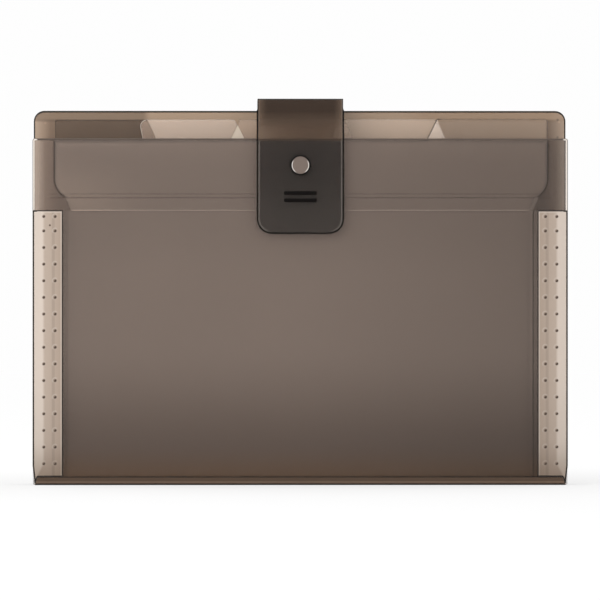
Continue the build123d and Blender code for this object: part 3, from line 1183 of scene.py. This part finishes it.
def grid_faces(rows: int, columns: int, wrap_rows: bool, wrap_columns: bool) -> np.ndarray:
    """Four-sided faces of a grid of points numbered row by row.

    Args:
        rows: Number of rows.
        columns: Number of points in a row.
        wrap_rows: Whether the last row joins the first.
        wrap_columns: Whether each row closes on itself.

    Returns:
        An array with four point numbers for each face.
    """
    row = np.arange(rows if wrap_rows else rows - 1)[:, None]
    column = np.arange(columns if wrap_columns else columns - 1)[None, :]
    next_row, next_column = (row + 1) % rows, (column + 1) % columns
    corners = [row * columns + column, row * columns + next_column]
    corners += [next_row * columns + next_column, next_row * columns + column]
    return np.stack([c + np.zeros_like(corners[0]) for c in corners], axis=-1).reshape(-1, 4)


def new_piece(name: str, points: np.ndarray, faces: list[list[int]]) -> Mesh:
    """Puts points and faces into a new mesh object of the scene.

    Args:
        name: The piece's name.
        points: Array of points by three, in metres.
        faces: The point numbers of each face.

    Returns:
        The new object.
    """
    mesh = bpy.data.meshes.new(name)
    mesh.from_pydata(points.tolist(), [], faces)
    mesh.update()
    piece = bpy.data.objects.new(name, mesh)
    bpy.context.scene.collection.objects.link(piece)
    return piece


def surface(
    name: str,
    points: np.ndarray,
    lay: np.ndarray | None = None,
    wrap_rows: bool = False,
    wrap_columns: bool = False,
    flip: bool = False,
) -> Mesh:
    """Puts a grid of points into a new smooth mesh object.

    Args:
        name: The piece's name.
        points: Array of rows by columns by three coordinates, in metres.
        lay: Array of rows by columns by two, the piece's own map.
        wrap_rows: Whether the last row joins the first.
        wrap_columns: Whether each row closes on itself.
        flip: Whether the faces point the other way.

    Returns:
        The new object.
    """
    rows, columns = points.shape[:2]
    faces = grid_faces(rows, columns, wrap_rows, wrap_columns)
    if flip:
        faces = faces[:, ::-1]
    piece = new_piece(name, points.reshape(-1, 3), faces.tolist())
    if lay is not None:
        layer = piece.data.uv_layers.new(name="lay")
        places = lay.reshape(-1, 2)[faces.reshape(-1)]
        layer.data.foreach_set("uv", places.astype(np.float32).reshape(-1))
    piece.data.polygons.foreach_set("use_smooth", np.ones(len(faces), bool))
    piece.data.update()
    return piece


def signed_power(value: np.ndarray, exponent: float) -> np.ndarray:
    """Power of each value's size, with the value's sign."""
    return np.sign(value) * np.abs(value) ** exponent


def rounded_outline(
    corners: Sequence[tuple[float, float]],
    radii: Sequence[float],
    steps: int = 8,
) -> np.ndarray:
    """Closed outline through corners with an arc at each.

    Each arc's centre lies on its corner's bisector, at the radius over the sine of half the
    corner's angle. Its points turn evenly from one tangent point to the other.

    Args:
        corners: The corners in order, anticlockwise, in metres.
        radii: The radius at each corner.
        steps: Points on each arc.

    Returns:
        Array of points by two.
    """
    corner = np.array(corners, float)
    radius = np.array(radii, float)[:, None]
    before = np.roll(corner, 1, axis=0) - corner
    after = np.roll(corner, -1, axis=0) - corner
    before /= np.linalg.norm(before, axis=1, keepdims=True)
    after /= np.linalg.norm(after, axis=1, keepdims=True)
    angle = np.arccos(np.clip((before * after).sum(1, keepdims=True), -1, 1))
    reach = radius / np.tan(angle / 2)
    bisector = before + after
    bisector /= np.linalg.norm(bisector, axis=1, keepdims=True)
    centre = corner + bisector * radius / np.sin(angle / 2)
    first, last = corner + before * reach - centre, corner + after * reach - centre
    turn = (np.pi - angle)[:, :, None]
    share = np.linspace(0, 1, steps)[None, :, None]
    arc = (first[:, None] * np.sin((1 - share) * turn) + last[:, None] * np.sin(share * turn)) / np.sin(turn)
    return (centre[:, None] + arc).reshape(-1, 2)


def flat_sheet(name: str, outline: np.ndarray, front: float, back: float) -> Mesh:
    """Flat upright sheet: its outline at two depths, joined by a wall.

    Args:
        name: The piece's name.
        outline: Array of points by two, anticlockwise.
        front: Depth of its front face, in metres.
        back: Depth of its rear face.

    Returns:
        The sheet.
    """
    count = len(outline)
    side, height = outline.T
    loops = [np.stack([side, np.full(count, depth), height], axis=1) for depth in (back, front)]
    ring = np.arange(count)
    caps = [(ring + count).tolist(), ring[::-1].tolist()]
    return new_piece(name, np.concatenate(loops), caps + grid_faces(2, count, False, True).tolist())


@dataclass
class SheetEdge:
    """Bead along the cut edge of an upright sheet."""

    name: str
    outline: np.ndarray
    depth: float
    thickness: float
    width: float = 0.6 * MM
    lip: float = 0.04 * MM
    proud: float = 0.05 * MM
    sides: int = 12

    def build(self) -> Mesh:
        """Carries a squared oval along the outline.

        Each point of the oval is the cosine or sine of its angle, brought to its square root
        and given its sign, times half the bead's width or depth.

        Returns:
            The bead.
        """
        path = self.outline
        along = np.roll(path, -1, axis=0) - np.roll(path, 1, axis=0)
        along /= np.linalg.norm(along, axis=1, keepdims=True)
        outward = np.stack([along[:, 1], -along[:, 0]], axis=1)
        angle = np.linspace(0, 2 * np.pi, self.sides, endpoint=False)
        half_depth = self.thickness / 2 + self.proud
        across = signed_power(np.cos(angle), 0.5)
        deep = signed_power(np.sin(angle), 0.5) * half_depth
        shift = across * self.width / 2 + self.lip - self.width / 2
        flat = path[:, None, :] + outward[:, None, :] * shift[None, :, None]
        depth = np.broadcast_to(self.depth + deep, flat.shape[:2])
        points = np.stack([flat[..., 0], depth, flat[..., 1]], axis=-1)
        length = np.linspace(0, 1, len(path))[:, None] + np.zeros_like(shift)[None, :]
        lay = np.stack([(across / 2 + 0.5)[None, :] + np.zeros_like(length), length], axis=-1)
        return surface(self.name, points, lay, wrap_rows=True, wrap_columns=True)


@dataclass
class Pleat:
    """Film pleat of one pocket, from the sheet in front of it to the one behind it."""

    name: str
    front: float
    back: float
    front_out: bool
    back_out: bool
    rows: int = 17
    leg: int = 36
    bend: int = 6
    base: int = 40
    corner: float = 1.2 * MM
    fold_reach: float = 164 * MM
    fold_low: float = 0.4 * MM
    cover_low: float = 0.15 * MM
    crown: float = 0.14
    wave: float = 0.12 * MM
    ripples: float = 23
    film: float = 0.3 * MM

    def build(self) -> Mesh:
        """Carries a U round the two sides and the bottom, from one sheet to the other.

        The U's reach runs from the neck to the outer fold with the fold share: for a pleat
        with its fold in the middle that is 1 less a rounded absolute value of the depth, and
        for one that ends on a cover it is the depth itself. A slow wave runs down the legs.

        Returns:
            The pleat.
        """
        deep = np.linspace(0, 1, self.rows)[:, None]
        if self.front_out or self.back_out:
            share = 1 - deep if self.front_out else deep
            reach, low = SIZES.flap_reach, self.cover_low
        else:
            centred = np.sqrt((2 * deep - 1) ** 2 + self.crown**2) - self.crown
            share = 1 - centred / (np.sqrt(1 + self.crown**2) - self.crown)
            reach, low = self.fold_reach, self.fold_low
        half = SIZES.half_neck + (reach - SIZES.half_neck) * share
        bottom = SIZES.divider_bottom + (low - SIZES.divider_bottom) * share
        down = np.linspace(0, 1, self.leg)[None, :]
        round_in = np.linspace(0, np.pi / 2, self.bend + 2)[None, 1:-1]
        run = np.linspace(-1, 1, self.base)[None, :]
        leg_z = SIZES.gusset_height + (bottom + self.corner - SIZES.gusset_height) * down
        ripple = self.wave * np.sin(down * self.ripples) * np.sin(down * np.pi) * share
        leg_x = half + ripple - self.wave * share
        bend_x = half - self.corner + self.corner * np.cos(round_in)
        bend_z = bottom + self.corner - self.corner * np.sin(round_in)
        base_x, base_z = run * (half - self.corner), bottom + 0 * run
        x = np.concatenate([-leg_x, -bend_x, base_x, bend_x[:, ::-1], leg_x[:, ::-1]], axis=1)
        z = np.concatenate([leg_z, bend_z, base_z, bend_z[:, ::-1], leg_z[:, ::-1]], axis=1)
        y = self.front + (self.back - self.front) * deep + 0 * x
        piece = surface(self.name, np.stack([x, y, z], axis=-1))
        piece.modifiers.new("wall", "SOLIDIFY").thickness = self.film
        piece.modifiers["wall"].offset = 0
        return piece


@dataclass
class StrapRun:
    """Half of the strap, from the middle of its web over one edge to its end."""

    name: str
    depth: float
    end: float
    top: float = SIZES.strap_top
    bend: float = 2 * MM
    thickness: float = 1.18 * MM
    half: float = SIZES.strap_half
    neck_half: float = 26.4 * MM
    neck_low: float = 231.5 * MM
    neck_run: float = 0.8 * MM
    radius: float = SIZES.strap_radius
    columns: int = 33
    level_rows: int = 10
    bend_rows: int = 12
    fall_rows: int = 44
    end_rows: int = 14
    bevel: float = 0.35 * MM
    bevel_steps: int = 3
    bevel_angle: float = math.radians(60)

    def build(self) -> Mesh:
        """Carries a straight line across the width along the strap's bent path.

        The path runs level from the middle, a quarter turn at the edge, and down. The half
        width follows the end's corner arcs: the full half width less the radius, plus the
        radius times the sine of the angle whose cosine gives the distance from the end.

        Returns:
            The strap's half.
        """
        side, reach = (1 if self.depth > 0 else -1), abs(self.depth)
        level = np.linspace(0, reach - self.bend, self.level_rows)
        turn = np.linspace(0, np.pi / 2, self.bend_rows)[1:]
        fall = np.linspace(self.top - self.bend, self.end + self.radius, self.fall_rows)[1:]
        last = self.end + self.radius * (1 - np.sin(np.linspace(0, np.pi / 2, self.end_rows)[1:]))
        bend_y = reach - self.bend * (1 - np.sin(turn))
        bend_z = self.top - self.bend * (1 - np.cos(turn))
        y = np.concatenate([level, bend_y, np.full(len(fall) + len(last), reach)])
        z = np.concatenate([np.full(len(level), self.top), bend_z, fall, last])
        step = np.hypot(np.diff(y), np.diff(z))
        length = np.concatenate([[0], np.cumsum(step)])
        neck = np.clip((z - self.neck_low) / self.neck_run, 0, 1)
        half = self.half + (self.neck_half - self.half) * neck
        from_end = np.clip((z - self.end) / self.radius, 0, 1)
        arc = self.half - self.radius + self.radius * np.sqrt(1 - (1 - from_end) ** 2)
        half = np.where(from_end < 1, arc, half)
        across = np.sin(np.linspace(-np.pi / 2, np.pi / 2, self.columns))
        x = half[:, None] * across[None, :]
        points = np.stack([x, side * y[:, None] + 0 * x, z[:, None] + 0 * x], axis=-1)
        straight = self.end + length[-1] - length
        lay = np.stack([x, straight[:, None] + 0 * x], axis=-1)
        piece = surface(self.name, points, lay, flip=side > 0)
        wall = piece.modifiers.new("wall", "SOLIDIFY")
        wall.thickness, wall.offset = self.thickness, 0
        rim = piece.modifiers.new("rim", "BEVEL")
        rim.width, rim.segments = self.bevel, self.bevel_steps
        rim.limit_method, rim.angle_limit = "ANGLE", self.bevel_angle
        return piece


@dataclass
class GripRib:
    """Raised bar on the tongue with softly rounded ends."""

    name: str
    height: float
    surface_depth: float
    half_length: float = 10.1 * MM
    half_width: float = 1.17 * MM
    rise: float = 0.5 * MM
    sunk: float = 0.05 * MM
    tip: float = 0.02
    columns: int = 64
    rows: int = 9

    def build(self) -> Mesh:
        """Squared half dome: each coordinate is a signed power of a cosine or sine.

        Returns:
            The rib.
        """
        around = np.linspace(0, 2 * np.pi, self.columns, endpoint=False)[None, :]
        up = np.linspace(0, np.pi / 2, self.rows)[:, None]
        spread = self.tip + (1 - self.tip) * signed_power(np.cos(up), 0.35)
        end = np.sign(np.cos(around)) * (self.half_length - self.half_width)
        x = (signed_power(np.cos(around), 0.5) * self.half_width + end) * spread
        z = self.height + signed_power(np.sin(around), 0.5) * self.half_width * spread
        dome = (self.rise + self.sunk) * signed_power(np.sin(up), 0.6)
        y = self.surface_depth + self.sunk - dome + 0 * x
        return surface(self.name, np.stack([x, y, z], axis=-1), wrap_columns=True)


def carry(piece: Mesh, body: str, material: bpy.types.Material) -> Mesh:
    """Dresses a new rigid piece and lets it ride on a body.

    Args:
        piece: The piece.
        body: The body's name.
        material: Its material.

    Returns:
        The piece.
    """
    piece.data.materials.append(material)
    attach(piece, body)
    log.info("%s rides on %s", piece.name, body)
    return piece


def dress(node: str, material: bpy.types.Material) -> None:
    """Gives a node of the frame its material.

    Args:
        node: The node's name.
        material: The material for all its faces.
    """
    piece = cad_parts[node]
    if not piece.material_slots:
        piece.data.materials.append(material)
    for slot in piece.material_slots:
        slot.material = material
    log.info("%s wears %s", node, material.name)


@dataclass
class Covers:
    """Front and back covers with their hems, end flaps, weld spots and cut edges."""

    finishes: Finishes
    proud: float = 0.4 * MM
    small_radius: float = 0.3 * MM
    foot_radius: float = 5 * MM
    sheet: float = 0.8 * MM
    flap_lap: float = 0.15 * MM
    flap_depth: float = 0.55 * MM
    flap_film: float = 0.3 * MM
    flap_bead: float = 1.35 * MM
    flap_lip: float = 0.05 * MM

    def cover_outline(self, height: float, radius: float) -> np.ndarray:
        """Outline of a cover with its tapered foot.

        Args:
            height: The cover's height.
            radius: Radius of its top corners.

        Returns:
            Array of points by two.
        """
        half, foot = SIZES.half_width + self.proud, SIZES.half_width - SIZES.foot_taper
        low, small, bend = SIZES.foot_height, self.small_radius, self.foot_radius
        corners = [(-foot, 0), (foot, 0), (half, low), (half, height), (-half, height), (-half, low)]
        return rounded_outline(corners, [small, small, bend, radius, radius, bend])

    def flap_outline(self, side: int) -> np.ndarray:
        """Outline of an end flap.

        Args:
            side: -1 on the left and 1 on the right.

        Returns:
            Array of points by two, anticlockwise.
        """
        reach, inner = SIZES.flap_reach, SIZES.flap_inner - self.flap_lap
        high = SIZES.gusset_height + 0.1 * MM
        corners = [
            (inner, SIZES.hem_height),
            (reach - SIZES.flap_mitre, SIZES.hem_height),
            (SIZES.half_width - SIZES.foot_taper, 0.2 * MM),
            (reach, SIZES.foot_height),
            (reach, high),
            (inner, high),
        ]
        if side < 0:
            corners = [(-x, z) for x, z in reversed(corners)]
        return rounded_outline(corners, [self.small_radius] * len(corners), steps=5)

    def build(self) -> None:
        """Builds the beads and dresses the nodes."""
        finishes = self.finishes
        dress("front_cover", finishes.front_cover)
        dress("back_cover", finishes.back_cover)
        front = self.cover_outline(SIZES.front_height, SIZES.front_radius)
        back = self.cover_outline(SIZES.back_height + 0.1 * MM, SIZES.back_radius)
        covers = (
            ("front", front, -12.0 * MM, 1.75 * MM, finishes.front_edge),
            ("back", back, 15.8 * MM, 1.6 * MM, finishes.dark_edge),
        )
        for name, outline, depth, width, material in covers:
            edge = SheetEdge(f"{name}_cover_edge", outline, depth, self.sheet, width=width)
            carry(edge.build(), name, material)
            dress(f"{name}_hem", finishes.hem)
            face = depth + math.copysign(self.flap_depth, depth)
            for side, word in ((-1, "left"), (1, "right")):
                dress(f"{name}_flap_{word}", finishes.flap)
                dress(f"{name}_welds_{word}", finishes.weld)
                rim = SheetEdge(
                    f"{name}_flap_{word}_edge",
                    self.flap_outline(side),
                    face,
                    self.flap_film,
                    width=self.flap_bead,
                    lip=self.flap_lip,
                )
                carry(rim.build(), name, finishes.flap_edge)


@dataclass
class Dividers:
    """Tabbed sheets with their curved wings, in place of the solids, and their cut edges.

    The laps, gaps, radii and front faces are in millimetres, and the leans are slopes.
    """

    finishes: Finishes
    middle: float = 0.2
    front_reach: float = 0.18 * MM
    back_reach: float = 0.17 * MM
    thickness: float = 0.4 * MM
    bead: float = 1.5 * MM
    bend_radius: float = 2 * MM
    root_radius: float = 0.3 * MM
    corner_radius: float = 0.4 * MM
    foot_radius: float = 0.2 * MM
    laps: tuple[float, ...] = (7.5, 9.2, 7.2, 7.2, 7.7)
    right_gaps: tuple[float, ...] = (3.6, 10.7, 2.5, 8.4, 0)
    left_leans: tuple[float, ...] = (0, -0.22, 0.47, 0.35, 0.49)
    right_leans: tuple[float, ...] = (0.45, 0.5, 0.38, 0.43, 0)
    left_radii: tuple[float, ...] = (0.8, 4.3, 0.8, 0.8, 0.8)
    right_radii: tuple[float, ...] = (0.8, 1.5, 0.8, 0.8, 2)
    front_faces: tuple[float, ...] = (-6.6, -1.2, 4.2, 9.6, 15.0)
    bodies: tuple[str, ...] = ("sheet_1", "sheet_2", "sheet_3", "sheet_4", "back")
    nodes: tuple[str, ...] = ("divider_1", "divider_2", "divider_3", "divider_4", "back_leaf")

    def outline(self, tab: int) -> np.ndarray:
        """Outline of one divider: narrow neck, wings and tab.

        Args:
            tab: The tab's number from 0 at the left.

        Returns:
            Array of points by two, anticlockwise.
        """
        neck, top, high = SIZES.half_neck, SIZES.tab_top, SIZES.gusset_height
        wide, low, bottom = neck + SIZES.neck_slant, SIZES.wing_bottom, SIZES.divider_bottom
        wing_left, wing_right, shoulder = SIZES.wing_left, SIZES.wing_right, SIZES.shoulder
        pitch = (wing_right - wing_left) / len(self.bodies)
        rise = top - shoulder
        left = wing_left + tab * pitch - self.laps[tab] * MM
        right = wing_left + (tab + 1) * pitch - self.right_gaps[tab] * MM
        left_foot = left - rise * self.left_leans[tab]
        right_foot = right + rise * self.right_leans[tab]
        bend, root, small, foot = self.bend_radius, self.root_radius, self.corner_radius, self.foot_radius
        start = low + SIZES.wing_drop
        rows = [(neck, bottom, bend), (neck, high, bend)]
        rows += [(wide, low, root), (wing_right, start, SIZES.wing_radius)]
        if right_foot < wing_right:
            rows += [(wing_right, shoulder, small), (right_foot, shoulder, foot)]
        rows += [(min(right, wing_right), top, self.right_radii[tab] * MM)]
        rows += [(max(left, wing_left), top, self.left_radii[tab] * MM)]
        if left_foot > wing_left:
            rows += [(left_foot, shoulder, foot), (wing_left, shoulder, small)]
        rows += [(wing_left, start, SIZES.wing_radius), (-wide, low, root)]
        rows += [(-neck, high, bend), (-neck, bottom, bend)]
        return rounded_outline([(x, z) for x, z, _ in rows], [radius for _, _, radius in rows])

    def build(self) -> None:
        """Builds the sheets in place of the solids, and the beads on their cut edges."""
        for index, (node, body) in enumerate(zip(self.nodes, self.bodies)):
            depth = (self.front_faces[index] + self.middle) * MM
            outline = self.outline(len(self.nodes) - 1 - index)
            front, back = depth - self.front_reach, depth + self.back_reach
            sheet = flat_sheet(f"{node}_sheet", outline, front, back)
            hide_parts(node)
            carry(sheet, body, self.finishes.dividers[index])
            edge = SheetEdge(f"{node}_edge", outline, depth, self.thickness, width=self.bead)
            carry(edge.build(), body, self.finishes.rims[index])


@dataclass
class Pleats:
    """The five film pleats, each bending between its pocket's two sheets.

    The depths are in millimetres, two for each pleat. The last pleat reaches into the flaps.
    """

    finishes: Finishes
    last_back: float = 15.38 * MM
    depths: tuple[float, ...] = (-11.6, -6.6, -6.2, -1.2, -0.8, 4.2, 4.6, 9.6, 10.0, 15.0)
    bodies: tuple[str, ...] = ("front", "sheet_1", "sheet_2", "sheet_3", "sheet_4", "back")

    def build(self) -> None:
        """Builds the pleats in place of the film solids."""
        last = len(self.bodies) - 2
        for index in range(last + 1):
            front, back = self.depths[2 * index] * MM, self.depths[2 * index + 1] * MM
            if index == last:
                back = self.last_back
            number = index + 1
            piece = Pleat(f"pleat_{number}", front, back, index == 0, index == last).build()
            piece.data.materials.append(self.finishes.pleat)
            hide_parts(f"gusset_{number}")
            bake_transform(piece)
            log.info("%s bends from %s to %s", piece.name, self.bodies[index], self.bodies[index + 1])


@dataclass
class Strap:
    """The strap, its grip ribs, its welds and the snap."""

    finishes: Finishes
    front_depth: float = -16.0 * MM
    back_depth: float = 16.8 * MM
    half_thickness: float = 0.6 * MM
    rib_heights: tuple[float, ...] = (180.4 * MM, 175.9 * MM)

    def build(self) -> None:
        """Builds the strap's two halves, which meet at the middle of the web, and its ribs."""
        front = StrapRun("strap_front", self.front_depth, SIZES.tongue_end)
        back = StrapRun("strap_back", self.back_depth, SIZES.tail_end)
        runs = (
            (front, "web", "tongue", ("strap_tongue", "strap_web"), -1, self.finishes.strap_front),
            (back, "web", "back", ("strap_tail", "strap_web"), 1, self.finishes.strap_back),
        )
        for run, near, far, nodes, side, material in runs:
            piece = run.build()
            piece.data.materials.append(material)
            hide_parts(*nodes)
            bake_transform(piece)
            log.info("%s bends from %s to %s", piece.name, near, far)
        for number, height in enumerate(self.rib_heights, 1):
            rib = GripRib(f"grip_rib_{number}", height, self.front_depth - self.half_thickness)
            carry(rib.build(), "tongue", self.finishes.rib)
        dress("strap_welds", self.finishes.rib)
        for node in ("snap_cap", "snap_socket", "snap_stud", "snap_post"):
            dress(node, self.finishes.metal)


@dataclass
class Studio:
    """Plain floor, soft light and the camera."""

    distance: float = 4.0
    front_plane: float = -12.4 * MM
    eye_height: float = 114.35 * MM
    eye_side: float = -49 * MM
    aim_side: float = -0.2 * MM
    lens: float = 388.4
    sensor: float = 36
    clip: tuple[float, float] = (0.1, 30)
    dome: float = 0.99
    clear_bounces: int = 64
    floor_reach: float = 6.0
    floor_lit: Colour = (0.8, 0.8, 0.8, 1.0)
    floor_seen: Colour = (0.42, 0.42, 0.42, 1.0)
    lift: tuple[float, float] = (0.53, 0.572)
    lift_run: tuple[float, float] = (0.03, 0.45)
    lamp_place: tuple[float, float, float] = (-1.3, -1.6, 1.1)
    lamp_aim: float = 0.11
    lamp_size: float = 1.4
    lamp_power: float = 14.0

    def camera(self) -> None:
        """Looks level and straight at the front, from far off with a long lens."""
        data = bpy.data.cameras.new("camera")
        data.lens, data.sensor_width = self.lens, self.sensor
        data.clip_start, data.clip_end = self.clip
        view = bpy.data.objects.new("camera", data)
        view.location = (self.eye_side, self.front_plane - self.distance, self.eye_height)
        view.rotation_euler = (math.pi / 2, 0, math.atan2(self.eye_side - self.aim_side, self.distance))
        bpy.context.scene.collection.objects.link(view)
        bpy.context.scene.camera = view

    def world(self) -> None:
        """An even white dome, which is the background too."""
        world = bpy.data.worlds.new("studio")
        bpy.context.scene.world = world
        world.use_nodes = True
        shader = world.node_tree.nodes["Background"]
        shader.inputs["Color"].default_value = (1.0, 1.0, 1.0, 1.0)
        shader.inputs["Strength"].default_value = self.dome

    def floor(self) -> None:
        """Plain floor: white, a little lifted for the camera, with the file's shadow on it.

        The lift grows a little behind the file, up to where the floor meets the dome.
        """
        ends = np.array([-self.floor_reach, self.floor_reach])
        deep, side = np.meshgrid(ends, ends, indexing="ij")
        piece = surface("floor", np.stack([side, deep, 0 * deep], axis=-1))
        material = bpy.data.materials.new("floor")
        material.use_nodes = True
        bench = Bench(material.node_tree)
        shader = material.node_tree.nodes["Principled BSDF"]
        shader.inputs["Roughness"].default_value = 0.9
        shader.inputs["Specular IOR Level"].default_value = 0.0
        seen = bench.add("LightPath").outputs["Is Camera Ray"]
        bench.put(shader.inputs["Base Color"], bench.mix(seen, self.floor_lit, self.floor_seen))
        depth = bench.split(bench.add("TexCoord").outputs["Object"])[1]
        lift = bench.fade(bench.between(depth, *self.lift_run), *self.lift)
        shader.inputs["Emission Color"].default_value = (1.0, 1.0, 1.0, 1.0)
        bench.put(shader.inputs["Emission Strength"], bench.maths("MULTIPLY", seen, lift))
        piece.data.materials.append(material)

    def lamp(self) -> None:
        """One soft square lamp that faces the middle of the file."""
        data = bpy.data.lights.new("key", "AREA")
        data.shape, data.size, data.energy = "SQUARE", self.lamp_size, self.lamp_power
        light = bpy.data.objects.new("key", data)
        light.location = self.lamp_place
        side, deep, rise = np.array([0, 0, self.lamp_aim]) - np.array(self.lamp_place)
        pitch = math.pi / 2 + math.atan2(rise, math.hypot(side, deep))
        light.rotation_euler = (pitch, 0, math.atan2(-side, deep))
        bpy.context.scene.collection.objects.link(light)

    def build(self) -> None:
        """Builds the floor, the light and the camera."""
        scene = bpy.context.scene
        scene.view_settings.view_transform = "Standard"
        scene.cycles.transparent_max_bounces = self.clear_bounces
        self.camera()
        self.world()
        self.floor()
        self.lamp()


def main() -> None:
    """Builds the file's pieces in order."""
    logging.basicConfig(level=logging.INFO, format="%(message)s")
    finishes = Finishes()
    for assembly in (Covers(finishes), Dividers(finishes), Pleats(finishes), Strap(finishes), Studio()):
        assembly.build()
    bpy.context.view_layer.update()


if __name__ == "__main__":
    main()
